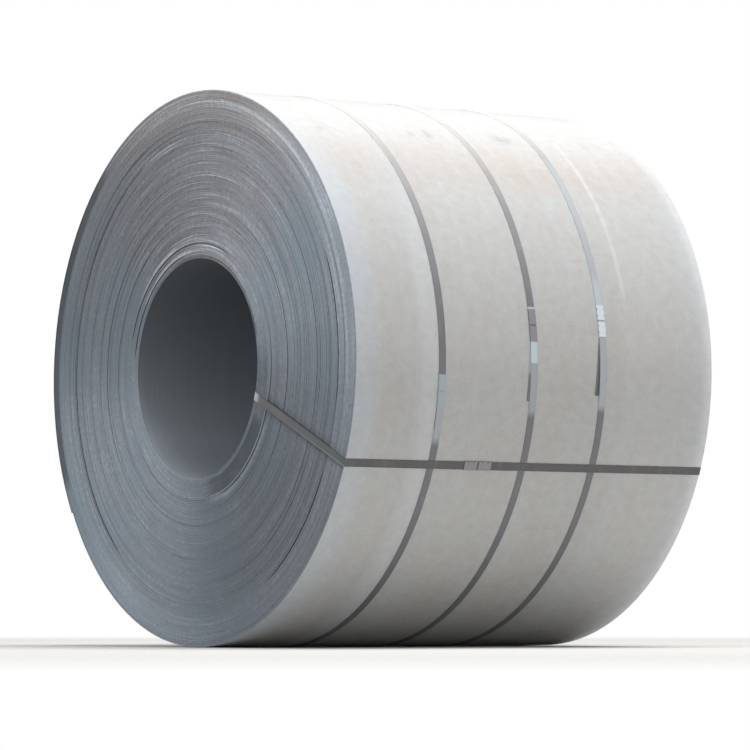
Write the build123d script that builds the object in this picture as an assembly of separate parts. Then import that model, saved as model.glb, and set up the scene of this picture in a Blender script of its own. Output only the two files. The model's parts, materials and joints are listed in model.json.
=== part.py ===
from build123d import *
import math
import os

# A coil of hot-rolled steel strip, lying with its bore level, held by three straps round its
# outside and one strap through its bore. Each strap is lapped on itself and closed by two seals.
#
# Millimetres. The bore runs along Y, the front end faces -Y, Z is up and the floor is Z = 0.
# Angles turn round the bore as seen from the front: 0 is +X, the right-hand side, and 90 is up.

# The strip
strip_width = 1500.0
strip_thickness = 6.0
lap_gap = 0.05
lap_count = 96
bore_diameter = 762.0

# Where the strip begins, inside the bore, and where it ends, on the outside
head_angle = 292.0
tail_angle = 210.0

# How far the laps have slipped along the bore, towards the rear end. A ring of laps slips as
# one, so what it loses at the front end it gains at the rear.
core_lap_count = 12
outer_lap_count = 18
body_ring_count = 7
core_slip = -3.0
body_slip = 2.5
body_ripple = 1.2
ripple_turn = 2.3

# The steel strapping and its crimped seals
strap_width = 28.0
strap_thickness = 1.0
strap_clearance = 0.2
seal_length = 52.0
seal_gap = 6.0
seal_thickness = 1.0
seal_clearance = 0.1
notch_depth = 5.0
notch_width = 7.0
notch_inset = 15.0

# The straps round the outside: where each one lies, and the angle of its seals
front_strap_from_front_end = 347.0
middle_strap_from_mid_width = -23.0
rear_strap_from_rear_end = 478.0
front_seals_angle = -6.5
middle_seals_angle = 7.4
rear_seals_angle = 9.0

# The strap through the bore: where it lies in the bore and, slanting down over both ends, where it
# lies on the outside, and how far its seals lie behind the front strap
eye_bore_angle = -16.6
eye_rim_angle = -21.3
eye_seals_behind_front_strap = 190.0

# How far the end of each strap reaches past its seals
front_strap_tail = 70.0
middle_strap_tail = 200.0
rear_strap_tail = 200.0
eye_strap_tail = 70.0

lap_pitch = strip_thickness + lap_gap
bore_radius = bore_diameter / 2
coil_radius = bore_radius + lap_count * lap_pitch
half_width = strip_width / 2
seals_length = 2 * seal_length + seal_gap


def polar(radius, angle, centre=(0.0, 0.0)):
    """A point at that distance and angle from a centre, in the plane of the coil's end."""
    turn = math.radians(angle)
    return (centre[0] + radius * math.cos(turn), centre[1] + radius * math.sin(turn))


def outer_arcs(clear):
    """Two half circles, clear of the steel by that much, that come in by one lap over a turn.

    The near one starts behind the tail and the far one ends on it. Returns the far radius,
    the near radius and the near one's centre. The far one is centred on the bore.
    """
    far_radius = coil_radius + clear
    return far_radius, far_radius - lap_pitch / 2, polar(-lap_pitch / 2, tail_angle)


def seat(angle, clear):
    """The centre and radius of the arc, clear of the steel by that much, at that angle."""
    far_radius, near_radius, near_centre = outer_arcs(clear)
    if (angle - tail_angle) % 360 < 180:
        return near_centre, near_radius
    return (0.0, 0.0), far_radius


def reach(angle, clear):
    """How far the arc that is clear of the steel by that much lies from the bore's axis."""
    centre, radius = seat(angle, clear)
    turn = math.radians(angle)
    along = centre[0] * math.cos(turn) + centre[1] * math.sin(turn)
    return along + math.sqrt(radius**2 - centre[0] ** 2 - centre[1] ** 2 + along**2)


def coil_outline():
    """The coil's outside, with the step of one strip's thickness at its tail."""
    far_radius, near_radius, near_centre = outer_arcs(0.0)
    return make_face([
        CenterArc((0, 0), far_radius, tail_angle + 180, 180),
        Line(polar(far_radius, tail_angle), polar(far_radius - lap_pitch, tail_angle)),
        CenterArc(near_centre, near_radius, tail_angle, 180),
    ])


def bore_outline():
    """The bore, with the wedge of air where the second lap climbs over the strip's head."""
    climb = math.degrees(math.acos(bore_radius / (bore_radius + lap_pitch)))
    over_head = polar(bore_radius + lap_pitch, head_angle)
    return make_face([
        CenterArc((0, 0), bore_radius, head_angle, 360 - climb),
        Line(polar(bore_radius, head_angle - climb), over_head),
        Line(over_head, polar(bore_radius, head_angle)),
    ])


def strap_outline(clear):
    """The outline of a strap's face, pulled straight from the tail's corner to the lap below."""
    far_radius, near_radius, near_centre = outer_arcs(clear)
    straight = math.degrees(math.acos(near_radius / (far_radius + lap_pitch / 2)))
    landing = polar(near_radius, tail_angle + straight, near_centre)
    return make_face([
        CenterArc((0, 0), far_radius, tail_angle + 180, 180),
        Line(polar(far_radius, tail_angle), landing),
        CenterArc(near_centre, near_radius, tail_angle + straight, 180 - straight),
    ])


def ring_slips():
    """How far each ring has slipped, from the bore outwards: core, body rings and outer laps."""
    body = [body_slip + body_ripple * math.sin(ripple_turn * ring) for ring in range(body_ring_count)]
    return [core_slip, *body, 0.0]


def turned_rings():
    """The rings turned round the bore, with a lap too many at both the bore and the outside."""
    body_lap_count = lap_count - core_lap_count - outer_lap_count
    edges = [bore_radius - lap_pitch]
    for ring in range(body_ring_count + 1):
        laps_below = core_lap_count + round(body_lap_count * ring / body_ring_count)
        edges.append(bore_radius + laps_below * lap_pitch)
    edges.append(coil_radius + lap_pitch)
    front = []
    for ring, slip in enumerate(ring_slips()):
        front += [(edges[ring], slip - half_width), (edges[ring + 1], slip - half_width)]
    rear = [(radius, y + strip_width) for radius, y in reversed(front)]
    return revolve(make_face(Polyline(*front, *rear, close=True)), Axis.Y)


def coil():
    section = coil_outline() - bore_outline()
    return turned_rings() & extrude(Plane.XZ * section, amount=strip_width, both=True)


def turned_about(profile, angle, arc, centre):
    """A profile, drawn with its radius along X, turned through an arc that is centred on angle."""
    turned = Rot(Y=-(angle + arc / 2)) * revolve(profile, Axis.Y, revolution_arc=arc)
    return Pos(centre[0], 0, centre[1]) * turned


def strip_profile(low, high, width):
    """A rectangle from one radius to another, centred on Y = 0."""
    return Pos((low + high) / 2, 0) * Rectangle(high - low, width)


def seal_profile(steel):
    """The section of a seal: a plate over two layers of strap, and a leg down each side.

    steel is the radius of what the strap lies on.
    """
    inside = steel + strap_clearance + 2 * strap_thickness + seal_clearance
    room = strap_width + 2 * seal_clearance
    outside = strip_profile(steel + strap_clearance, inside + seal_thickness, room + 2 * seal_thickness)
    return outside - strip_profile(steel, inside, room)


def seal_notches(steel):
    """Four wedges that a crimping tool cuts from a seal's sides, with the seal centred on Z = 0."""
    wedge = Polyline((0, -notch_width / 2), (-notch_depth, 0), (0, notch_width / 2), close=True)
    side = strap_width / 2 + seal_clearance + seal_thickness
    height = 2 * (2 * strap_thickness + seal_thickness + seal_clearance + strap_clearance)
    cuts = []
    for along in (notch_inset - seal_length / 2, seal_length / 2 - notch_inset):
        for hand in (1, -1):
            # The wedge lies across the strap: its mouth at the seal's side, its point inwards.
            plane = Plane((steel, hand * side, along), x_dir=(0, hand, 0), z_dir=(hand, 0, 0))
            cuts.append(extrude(plane * make_face(wedge), amount=height, both=True))
    return cuts


def round_strap(y, seals_angle, tail):
    """A strap round the outside, centred on that Y, lapped on itself under and below its seals."""
    ring = strap_outline(strap_clearance + strap_thickness) - strap_outline(strap_clearance)
    band = Pos(0, y, 0) * extrude(Plane.XZ * ring, amount=strap_width / 2, both=True)
    centre, radius = seat(seals_angle, strap_clearance + strap_thickness)
    arc = math.degrees((seals_length + tail) / radius)
    lap_angle = seals_angle - math.degrees(tail / 2 / radius)
    lap = strip_profile(radius - strap_thickness / 2, radius + strap_thickness, strap_width)
    return band + Pos(0, y, 0) * turned_about(lap, lap_angle, arc, centre)


def round_seal(y, seals_angle, side):
    """One of the two seals of a strap round the outside: side is 1 for the upper, -1 for the lower."""
    centre, radius = seat(seals_angle, 0.0)
    angle = seals_angle + side * math.degrees((seal_length + seal_gap) / 2 / radius)
    arc = math.degrees(seal_length / radius)
    seal = turned_about(seal_profile(radius), angle, arc, centre)
    place = Pos(centre[0], 0, centre[1]) * Rot(Y=-angle)
    for cut in seal_notches(radius):
        seal -= place * cut
    return Pos(0, y, 0) * seal


def eye_rim():
    """The distance from the bore's axis at which the strap through the bore passes over the others."""
    return reach(eye_rim_angle, strap_clearance + strap_thickness) + strap_clearance


def eye_seals_y():
    return front_strap_from_front_end - half_width + eye_seals_behind_front_strap


def strap_corners(radius, angle):
    """The two sides of a strap that lies flat at that distance and angle, in the plane of the coil's end."""
    turn = math.radians(angle)
    across = (-math.sin(turn) * strap_width / 2, math.cos(turn) * strap_width / 2)
    x, z = polar(radius, angle)
    return (x - across[0], z - across[1]), (x + across[0], z + across[1])


def straight_run(radius, angle, front, rear):
    """A straight length of strap along the bore's axis, from one Y to another, centred on that radius."""
    run = Box(strap_thickness, rear - front, strap_width)
    return Rot(Y=-angle) * Pos(radius, (front + rear) / 2, 0) * run


def eye_strap():
    """The strap through the bore: along it, slanting over both ends of the coil and back outside."""
    slips = ring_slips()
    low = math.sqrt(bore_radius**2 - (strap_width / 2) ** 2) - strap_clearance
    high = eye_rim()
    front = min(slips) - half_width - strap_clearance
    rear = max(slips) + half_width + strap_clearance
    half = strap_thickness / 2
    inside = straight_run(low - half, eye_bore_angle, front - strap_thickness, rear + strap_thickness)
    outside = straight_run(high + half, eye_rim_angle, front - strap_thickness, rear + strap_thickness)
    bore_side = strap_corners(low - strap_thickness, eye_bore_angle)
    rim_side = strap_corners(high + strap_thickness, eye_rim_angle)
    slant = make_face(Polyline(*bore_side, *reversed(rim_side), close=True))
    over_end = extrude(Plane.XZ * slant, amount=half, both=True)
    lap_y = eye_seals_y() + eye_strap_tail / 2
    lap_half = (seals_length + eye_strap_tail) / 2
    lap = straight_run(high + 3 * half, eye_rim_angle, lap_y - lap_half, lap_y + lap_half)
    return inside + outside + Pos(0, front - half, 0) * over_end + Pos(0, rear + half, 0) * over_end + lap


def eye_seal(side):
    """One of the two seals of the strap through the bore: side is 1 for the rear one, -1 for the front."""
    steel = eye_rim() - strap_clearance
    seal = extrude(seal_profile(steel), amount=seal_length / 2, both=True)
    for cut in seal_notches(steel):
        seal -= cut
    # The section is drawn across Y and the seal runs along Z, so it is turned to run along Y.
    lying = Rot(X=-90) * seal
    y = eye_seals_y() + side * (seal_length + seal_gap) / 2
    return Rot(Y=-eye_rim_angle) * Pos(0, y, 0) * lying


def pieces():
    """Every piece of the strapped coil by its name, with the bore's axis at the origin."""
    round_straps = {
        "front": (front_strap_from_front_end - half_width, front_seals_angle, front_strap_tail),
        "middle": (middle_strap_from_mid_width, middle_seals_angle, middle_strap_tail),
        "rear": (half_width - rear_strap_from_rear_end, rear_seals_angle, rear_strap_tail),
    }
    made = {"coil": coil()}
    for name, (y, seals_angle, tail) in round_straps.items():
        made[f"{name}_strap"] = round_strap(y, seals_angle, tail)
        made[f"{name}_strap_upper_seal"] = round_seal(y, seals_angle, 1)
        made[f"{name}_strap_lower_seal"] = round_seal(y, seals_angle, -1)
    made["eye_strap"] = eye_strap()
    made["eye_strap_front_seal"] = eye_seal(-1)
    made["eye_strap_rear_seal"] = eye_seal(1)
    return made


os.makedirs("parts", exist_ok=True)
around_bore = pieces()
lift = -min(piece.bounding_box().min.Z for piece in around_bore.values())
for name, piece in around_bore.items():
    export_step(Pos(0, 0, lift) * piece, f"parts/{name}.step")
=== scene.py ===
import json
import math

import bpy
import numpy as np
from bpy.props import FloatProperty, FloatVectorProperty, IntProperty, PointerProperty
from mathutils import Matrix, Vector, geometry


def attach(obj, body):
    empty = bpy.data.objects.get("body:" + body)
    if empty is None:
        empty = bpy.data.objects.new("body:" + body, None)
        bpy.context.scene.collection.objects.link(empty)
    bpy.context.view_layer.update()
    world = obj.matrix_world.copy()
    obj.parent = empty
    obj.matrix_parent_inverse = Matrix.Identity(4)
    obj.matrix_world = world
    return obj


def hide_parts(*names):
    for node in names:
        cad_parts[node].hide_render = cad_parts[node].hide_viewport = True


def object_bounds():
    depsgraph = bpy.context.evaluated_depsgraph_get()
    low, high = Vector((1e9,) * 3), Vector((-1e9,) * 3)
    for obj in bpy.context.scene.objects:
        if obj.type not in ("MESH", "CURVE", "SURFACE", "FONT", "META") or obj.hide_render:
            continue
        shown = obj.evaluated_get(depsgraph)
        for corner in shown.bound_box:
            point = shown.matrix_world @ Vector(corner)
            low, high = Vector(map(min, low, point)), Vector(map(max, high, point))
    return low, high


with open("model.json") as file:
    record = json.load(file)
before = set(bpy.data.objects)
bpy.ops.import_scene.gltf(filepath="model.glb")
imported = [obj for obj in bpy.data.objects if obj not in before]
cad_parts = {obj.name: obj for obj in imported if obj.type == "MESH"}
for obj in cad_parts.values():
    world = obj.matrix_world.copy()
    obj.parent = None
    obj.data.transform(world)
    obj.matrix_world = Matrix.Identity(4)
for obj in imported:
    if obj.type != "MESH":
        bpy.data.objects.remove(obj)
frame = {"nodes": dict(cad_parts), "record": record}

bl_info = {
    "name": "Strapped steel coil",
    "version": (1, 0, 0),
    "blender": (4, 5, 0),
    "location": "3D View > Sidebar > Coil",
    "description": "A coil of hot-rolled steel strip wound lap by lap, with its straps, seals and a stage",
    "category": "Add Mesh",
}

# Metres, as the frame is. The bore runs along Y, the front end faces -Y and the floor is Z = 0.
# Angles turn round the bore as seen from the front: 0 is +X, the right-hand side, and 90 is up.
CAD_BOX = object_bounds()
TURN = 2 * math.pi
AXIS_HEIGHT = frame["record"]["mounts"][0]["pos_m"][2]
# The direction along the bore, towards the rear.
ALONG = np.array((0.0, 1.0, 0.0))
# Angles and turns that differ by less count as the same.
SAME = 1e-6
# The air between the two layers of a lapped strap, in metres.
LAYER_AIR = 0.00004


def steel_colour(red, green, blue):
    """The linear colour of three 8-bit display values."""
    shares = [value / 255 for value in (red, green, blue)]
    return tuple(s / 12.92 if s <= 0.04045 else ((s + 0.055) / 1.055) ** 2.4 for s in shares)


def length(name, default, description):
    return FloatProperty(name=name, default=default, description=description, unit="LENGTH", precision=4)


def angle(name, degrees, description):
    return FloatProperty(name=name, default=math.radians(degrees), description=description, subtype="ANGLE")


def colour(name, red, green, blue, description):
    return FloatVectorProperty(
        name=name, default=steel_colour(red, green, blue), description=description, subtype="COLOR",
        size=3, min=0.0, max=1.0,
    )


class StripSizes(bpy.types.PropertyGroup):
    """The strip and how it is wound."""

    width: length("Width", 1.5, "Width of the strip, along the bore")
    thickness: length("Thickness", 0.006, "Thickness of the strip")
    pitch: length("Lap pitch", 0.00605, "Thickness of one lap with the air beside it")
    laps: IntProperty(name="Laps", default=96, min=20, description="How many laps the coil has")
    bore: length("Bore radius", 0.381, "Radius of the bore")
    head: angle("Head angle", 292.0, "Where the strip begins, inside the bore")
    tail: angle("Tail angle", 210.0, "Where the strip ends, on the outside")
    edge_radial: length("Edge rounding across", 0.0010, "How far the rounded edge reaches into the thickness")
    edge_axial: length("Edge rounding along", 0.0009, "How far the rounded edge reaches into the width")
    core_laps: IntProperty(name="Core laps", default=12, description="Laps by the bore that slipped forward")
    outer_laps: IntProperty(name="Outer laps", default=18, description="Laps outside that did not slip")
    core_slip: length("Core slip", -0.0028, "How far the core laps slipped, which is towards the front")
    body_slip: length("Body slip", 0.0025, "How far the laps between slipped towards the rear")
    rear_slip: length("Rear slip", 0.0046, "The furthest that a lap reaches past the rear end")
    jitter: length("Lap jitter", 0.00050, "How far each lap wanders to and fro from its neighbours")
    columns: IntProperty(name="Columns in a turn", default=114, min=24, description="Faces round one turn")


class StrapSizes(bpy.types.PropertyGroup):
    """The steel strapping."""

    width: length("Width", 0.028, "Width of a strap")
    thickness: length("Thickness", 0.001, "Thickness of a strap")
    clearance: length("Clearance", 0.0002, "Air between a strap and the steel below it")
    edge: length("Edge rounding", 0.00028, "Rounding of a strap's long edges")
    seals_length: length("Length of both seals", 0.110, "From the upper seal's top to the lower's bottom")
    ramp: length("Ramp", 0.030, "Run over which the outer layer climbs onto the inner one")
    eye_bore: angle("Eye strap in the bore", -16.6, "Where the strap through the bore lies in it")
    eye_rim: angle("Eye strap outside", -21.3, "Where it lies outside, slanting over the ends")


class Finishes(bpy.types.PropertyGroup):
    """The colours of the steel."""

    edge_dark: colour("Strip edge, dark", 78, 84, 91, "Scale on the laps' edges")
    edge_mid: colour("Strip edge, middle", 128, 133, 141, "Plain laps' edges")
    edge_light: colour("Strip edge, light", 186, 193, 201, "Rubbed laps' edges")
    edge_cool: colour("Strip edge, cool", 111, 126, 137, "Blue scale on the laps' edges")
    edge_violet: colour("Strip edge, violet", 122, 120, 132, "Violet tinge of the scale in patches")
    edge_brown: colour("Strip edge, brown", 132, 119, 110, "Faint rust on the laps' edges")
    face: colour("Outside", 199, 199, 198, "The strip's outer face")
    face_cool: colour("Outside, cool", 202, 207, 212, "The outer face beside the ends and the straps")
    face_warm: colour("Outside, warm", 197, 189, 183, "Warm stains on the outer face")
    face_dark: colour("Outside, dark", 120, 128, 134, "Dull marks on the outer face")
    bore: colour("Bore", 120, 126, 132, "The strip's inner face, in the bore")
    strap: colour("Strap", 121, 121, 126, "Blued strapping")
    strap_brown: colour("Strap, brown", 96, 94, 97, "The strap through the bore")
    strap_dull: colour("Strap, dull", 80, 88, 90, "Scale on the outer part of the strap over the ends")
    # Dust and a painted highlight on the straps' upper side.
    strap_dust_and_highlight: colour("Strap, dusty", 210, 207, 202, "Dust on the straps' upper side")
    # Also the colour of painted highlights on the straps.
    strap_pale: colour("Strap, pale", 179, 184, 188, "Strapping that has lost its blueing")
    strap_bright: colour("Strap, bright", 200, 212, 223, "Bare bright strapping")
    seal_bright: colour("Seal, bright", 222, 232, 241, "A bright seal")
    seal_grey: colour("Seal, grey", 168, 180, 187, "A dull seal")
    seal_dark: colour("Seal, dark", 149, 145, 150, "A blued seal")
    floor: colour("Floor", 226, 225, 222, "The floor and backdrop")


class StageSizes(bpy.types.PropertyGroup):
    """The camera and the lamps."""

    azimuth: angle("Camera azimuth", 54.9, "How far the camera stands round to the right of the front end")
    elevation: angle("Camera elevation", -3.2, "How far the camera stands above the coil's middle")
    distance: length("Camera distance", 15.0, "From the camera to the coil's middle")
    lens: FloatProperty(name="Lens", default=203.0, description="Focal length in millimetres")
    ambient: FloatProperty(name="Ambient", default=0.42, description="Brightness of the light from all round")
    overhead: FloatProperty(name="Overhead lamp", default=785.0, description="Power of the lamp above, watts")
    front: FloatProperty(name="Front lamp", default=70.0, description="Power of the lamp in front, watts")


# ---------------------------------------------------------------- shapes


def rim_radius(strip):
    """Distance of the last lap's outer face from the bore's axis."""
    return strip.bore + strip.laps * strip.pitch


def short_of(angles, mark):
    """How far round each angle is short of a mark, from 0 up to a turn."""
    return np.round((mark - angles) % TURN, 9) % TURN


def apart(angles, middle):
    """How far each angle lies from a middle one, the shorter way round."""
    return np.abs((angles - middle + math.pi) % TURN - math.pi)


def coil_outline(strip, angles, clear=0.0):
    """Distance of the coil's outside from the bore's axis at each angle, plus a clearance.

    Over the half turn behind the strip's tail the outside is a circle half a lap smaller, set back
    from the tail by half a lap; over the other half turn it is a circle round the axis.
    """
    radius = rim_radius(strip) + clear
    back = TURN - short_of(angles, strip.tail)
    set_back = strip.pitch / 2
    along = -set_back * np.cos(back)
    near = along + np.sqrt((radius - set_back) ** 2 - set_back**2 + along**2)
    return np.where(back < math.pi, near, radius)


def strap_outline(strip, angles, clear):
    """As coil_outline, but pulled straight from the tail's corner to where it touches the lap below.

    The straight is the line whose normal leaves the near circle's centre at the landing angle, so its
    distance from the axis at any angle is the normal's length over the cosine of the angle from it.
    """
    radius = rim_radius(strip) + clear
    half = strip.pitch / 2
    landing = math.acos((radius - half) / (radius + half))
    normal = radius - half - half * math.cos(landing)
    back = (angles - strip.tail) % TURN
    straight = normal / np.cos(np.clip(back - landing, -1.0, 1.0))
    return np.where(back < landing, straight, coil_outline(strip, angles, clear))


def head_climb(strip):
    """The angle before the head over which the bore's wall climbs a lap."""
    return math.acos(strip.bore / (strip.bore + strip.pitch))


def bore_outline(strip, angles):
    """Distance of the bore's wall from its axis: a circle, and a straight climb of a lap before the head."""
    climb = head_climb(strip)
    left = short_of(angles, strip.head)
    climbing = (left > 0) & (left < climb)
    return np.where(climbing, strip.bore / np.cos(climb - np.minimum(left, climb)), strip.bore)


def smooth_step(value, low, high):
    """0 below low, 1 above high, and a smooth rise between them."""
    share = np.clip((value - low) / (high - low), 0.0, 1.0)
    return share * share * (3 - 2 * share)


def stretch(value, low, high, soft):
    """1 from low to high and 0 outside, rising and falling smoothly over soft at either end of it."""
    return smooth_step(value, low, low + soft) * (1 - smooth_step(value, high - soft, high))


def wander(positions, spacing, seed):
    """A smooth random line through a normal value at every spacing, read at the positions."""
    count = int(np.max(positions) / spacing) + 3
    knots = np.random.default_rng(seed).normal(size=count)
    place = positions / spacing
    below = place.astype(int)
    share = smooth_step(place - below, 0.0, 1.0)
    return knots[below] * (1 - share) + knots[below + 1] * share


def strip_path(strip):
    """The strip's run from head to tail, one row per column of faces.

    Returns the angle, the position along the strip in turns, and the distance of its inner face from
    the axis: at each angle the laps share the steel between the bore and the outside evenly.
    """
    run = (strip.tail - strip.head) % TURN
    climb = head_climb(strip)
    steps = np.linspace(0.0, TURN, strip.columns, endpoint=False)
    steps = np.unique(np.round(np.concatenate([steps, [run, TURN - climb]]), 9))
    turns = np.arange(strip.laps)
    position = (turns[:, None] * TURN + steps[None, :]).ravel()
    lap = np.repeat(turns, len(steps))
    offset = np.tile(steps, strip.laps)
    kept = position <= (strip.laps - 1) * TURN + run + SAME
    position, lap, offset = position[kept], lap[kept], offset[kept]
    angles = strip.head + offset
    inside = bore_outline(strip, angles)
    outside = coil_outline(strip, angles)
    layers = np.where(offset <= run + SAME, strip.laps, strip.laps - 1)
    inner = inside + lap * (outside - inside) / layers + (strip.pitch - strip.thickness) / 2
    return angles, position / TURN, inner


# Runs of laps that differ: the first and last lap, counted from the bore; the angles from which and to
# which they do; how much lighter or darker they are; and how much deeper they slipped, in metres, if at all.
LAP_RUNS = (
    (2, 10, -84, -19, -0.45, 0.0012),
    (11, 14, -84, -19, 0.42),
    (0, 9, -19, 11, -0.26),
    (0, 9, 0, 26, -0.14),
    (0, 1, 10, 90, -0.24),
    (0, 1, 10, 150, -0.14),
    (0, 10, 164, 250, 0.05),
    (3, 3, 98, 176, -0.40, 0.0030),
    (4, 5, 44, 104, 0.12),
    # Painted glints: the bright runs on laps 4 and 5 and on laps 9 and 10 at the upper left of the bore.
    (4, 5, 92, 150, 0.38),
    (6, 7, 90, 150, -0.18),
    (4, 7, 60, 190, 0.05),
    (8, 8, 58, 168, -0.45, 0.0034),
    # Painted glint, as on laps 4 and 5.
    (9, 10, 104, 150, 0.42),
    (11, 13, 58, 118, 0.18),
    (12, 15, 24, 66, 0.12),
    (14, 17, 72, 130, -0.16),
    (26, 26, 215, 330, -0.20, 0.0012),
    (27, 35, -8, 74, 0.07),
    (37, 37, 15, 70, -0.10),
    (45, 45, 250, 380, -0.16, 0.0010),
    (58, 58, 300, 410, -0.14, 0.0008),
    (67, 71, 128, 240, -0.09),
    (69, 69, 122, 232, -0.20),
    (70, 70, 110, 236, -0.40, 0.0042),
    (72, 73, 105, 150, 0.10),
    (74, 88, 168, 250, 0.08),
    (76, 77, -64, 44, -0.12),
    (78, 78, -64, 30, -0.40, 0.0042),
    (80, 82, -64, 60, 0.06),
    (86, 95, -40, -2, -0.06),
    (86, 95, -30, 128, 0.13),
    (88, 94, 2, 32, -0.12),
    (85, 95, 24, 76, 0.08),
    (90, 95, 126, 208, -0.84),
)


# The columns of LAP_RUNS that lap_runs sums up, and the share of a turn over which a run fades in and out.
TONE, SLIP = 4, 5
RUN_FADE = 0.03


def lap_runs(strip, turns, column):
    """The sum of one column of LAP_RUNS at each position along the strip, each run faded in and out."""
    total = np.zeros_like(turns)
    for run in (run for run in LAP_RUNS if column < len(run)):
        start = ((math.radians(run[2]) - strip.head) % TURN) / TURN
        long = (run[3] - run[2]) / 360
        along = (turns - start) % 1.0
        lap = np.floor(turns - start + 1e-9)
        fade = stretch(along, 0.0, long, RUN_FADE)
        total += np.where((lap >= run[0]) & (lap <= run[1]) & (along < long), fade * run[column], 0.0)
    return total


# The body laps' ripple: its height in metres, its radians per turn and where it starts.
RIPPLE_HEIGHT, RIPPLE_RATE, RIPPLE_START = 0.0010, 0.62, 1.0
# Where the strap through the bore holds the laps: the angle, and how far from it they are held and free.
HELD_AT, HELD_WITHIN, FREE_BEYOND = math.radians(-18.5), 0.10, 0.16
# The deepest slip of a lap that is held and of one that is free, in metres.
HELD_SLIP, FREE_SLIP = 0.0036, 0.0085


def strip_slip(strip, angles, turns):
    """How far the strip has slipped towards the rear, at each position along it.

    The core laps lie forward, the body laps back with a slow ripple, and the outer laps level. Each
    lap wanders a little as well, and a few laps slipped deeper over part of a turn, though not where
    the strap through the bore holds them.
    """
    core = smooth_step(turns, strip.core_laps - 0.4, strip.core_laps + 0.6)
    outer = smooth_step(turns, strip.laps - strip.outer_laps - 0.8, strip.laps - strip.outer_laps + 0.2)
    body = strip.body_slip + RIPPLE_HEIGHT * np.sin(turns * RIPPLE_RATE + RIPPLE_START)
    slip = strip.core_slip * (1 - core) + body * core * (1 - outer)
    slip = slip + strip.jitter * np.clip(wander(turns, 0.31, 11), -1.6, 1.6) * (0.35 + 0.65 * core)
    free = smooth_step(apart(angles, HELD_AT), HELD_WITHIN, FREE_BEYOND)
    slip = slip + lap_runs(strip, turns, SLIP) * free
    return np.clip(slip, strip.core_slip - 0.0002, np.where(free < 1.0, HELD_SLIP, FREE_SLIP))


def lap_tone(turns):
    """Short random stretches of lighter and darker edge, about 0, that differ from lap to lap."""
    return 0.16 * wander(turns, 0.040, 5) + 0.11 * wander(turns, 0.13, 8)


def bake_map(piece, strip, turns):
    """Lays the strip's faces flat for a bake: both ends as discs side by side in the upper half, the
    outside below them, the bore below that, and the faces between the laps in a thin row at the foot."""
    mesh = piece.data
    corners = np.empty(len(mesh.loops), dtype=np.int32)
    mesh.loops.foreach_get("vertex_index", corners)
    sizes = np.empty(len(mesh.polygons), dtype=np.int32)
    mesh.polygons.foreach_get("loop_total", sizes)
    places = np.empty(len(mesh.vertices) * 3, dtype=np.float32)
    mesh.vertices.foreach_get("co", places)
    x, _, z = (places.reshape(-1, 3)[corners] - (0.0, 0.0, AXIS_HEIGHT)).T / rim_radius(strip)
    face = np.repeat(np.arange(len(sizes)), sizes)
    side, column = face % 8, np.minimum(face // 8, len(turns) - 2)
    along = places.reshape(-1, 3)[corners, 1] / strip.width + 0.5
    here, lap, last = turns[corners // 8], np.floor(turns[column] + SAME), turns[-1]
    shown = [
        np.isin(side, (7, 0, 1)), np.isin(side, (3, 4, 5)),
        (side == 2) & (turns[column] > last - 1 - SAME), (side == 6) & (lap == 0),
    ]
    across = [0.25 + 0.245 * x, 0.75 + 0.245 * x, 0.01 + 0.98 * (here - last + 1), 0.01 + 0.98 * here]
    up = [0.75 + 0.245 * z, 0.75 + 0.245 * z, 0.13 + 0.35 * along, 0.04 + 0.07 * along]
    flat = np.stack([
        np.select(shown, across, 0.01 + 0.98 * (here - lap)), np.select(shown, up, 0.005 + 0.02 * along)
    ], axis=-1)
    layer = mesh.uv_layers.new(name="OFBake")
    layer.uv.foreach_set("vector", flat.astype(np.float32).ravel())


def rounded_section(thickness, width, across, along):
    """A bar's section as eight points: a rectangle with its corners cut back, from thickness 0 outwards."""
    half = width / 2
    return np.array([
        (across, -half), (thickness - across, -half), (thickness, along - half), (thickness, half - along),
        (thickness - across, half), (across, half), (0.0, half - along), (0.0, along - half),
    ])


def carried(centres, outward, side, section):
    """The section carried along the centres: section x times outward plus section y times side."""
    return centres[:, None] + outward[:, None] * section[:, :1] + side[..., None, :] * section[:, 1:]


def bar_faces(rows, around):
    """The quads between each row of a bar and the next, and a flat cap at each end."""
    first = np.arange(rows - 1)[:, None] * around
    here = np.arange(around)[None, :]
    there = (here + 1) % around
    quads = np.stack([first + here, first + there, first + around + there, first + around + here], axis=-1)
    caps = [list(range(around))[::-1], [(rows - 1) * around + k for k in range(around)]]
    return quads.reshape(-1, 4).tolist() + caps


def signed_volume(points, faces):
    """The volume that the faces close, positive where they point outwards."""
    total = 0.0
    for size in {len(face) for face in faces}:
        corners = points[np.array([face for face in faces if len(face) == size])]
        for k in range(1, size - 1):
            total += np.einsum("ij,ij->i", corners[:, 0], np.cross(corners[:, k], corners[:, k + 1])).sum()
    return total / 6


def new_piece(name, points, faces, materials, values, slots=None, sharp=35.0):
    """A mesh object of that name at the origin, its faces outwards and its edges sharp past an angle."""
    points = points.reshape(-1, 3)
    if signed_volume(points, faces) < 0:
        faces = [face[::-1] for face in faces]
    mesh = bpy.data.meshes.new(name)
    mesh.from_pydata(points.tolist(), [], faces)
    for finish in materials:
        mesh.materials.append(finish)
    if slots is not None:
        mesh.polygons.foreach_set("material_index", np.asarray(slots, dtype=np.int32))
    for key, numbers in values.items():
        layer = mesh.attributes.new(key, "FLOAT", "POINT")
        layer.data.foreach_set("value", np.asarray(numbers, dtype=np.float32).ravel())
    mesh.shade_smooth()
    mesh.set_sharp_from_angle(angle=math.radians(sharp))
    mesh.update()
    piece = bpy.data.objects.new(name, mesh)
    bpy.context.scene.collection.objects.link(piece)
    return piece


def outwards(angles):
    """The directions away from the bore's axis at those angles."""
    return np.stack([np.cos(angles), 0 * angles, np.sin(angles)], axis=-1)


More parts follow.
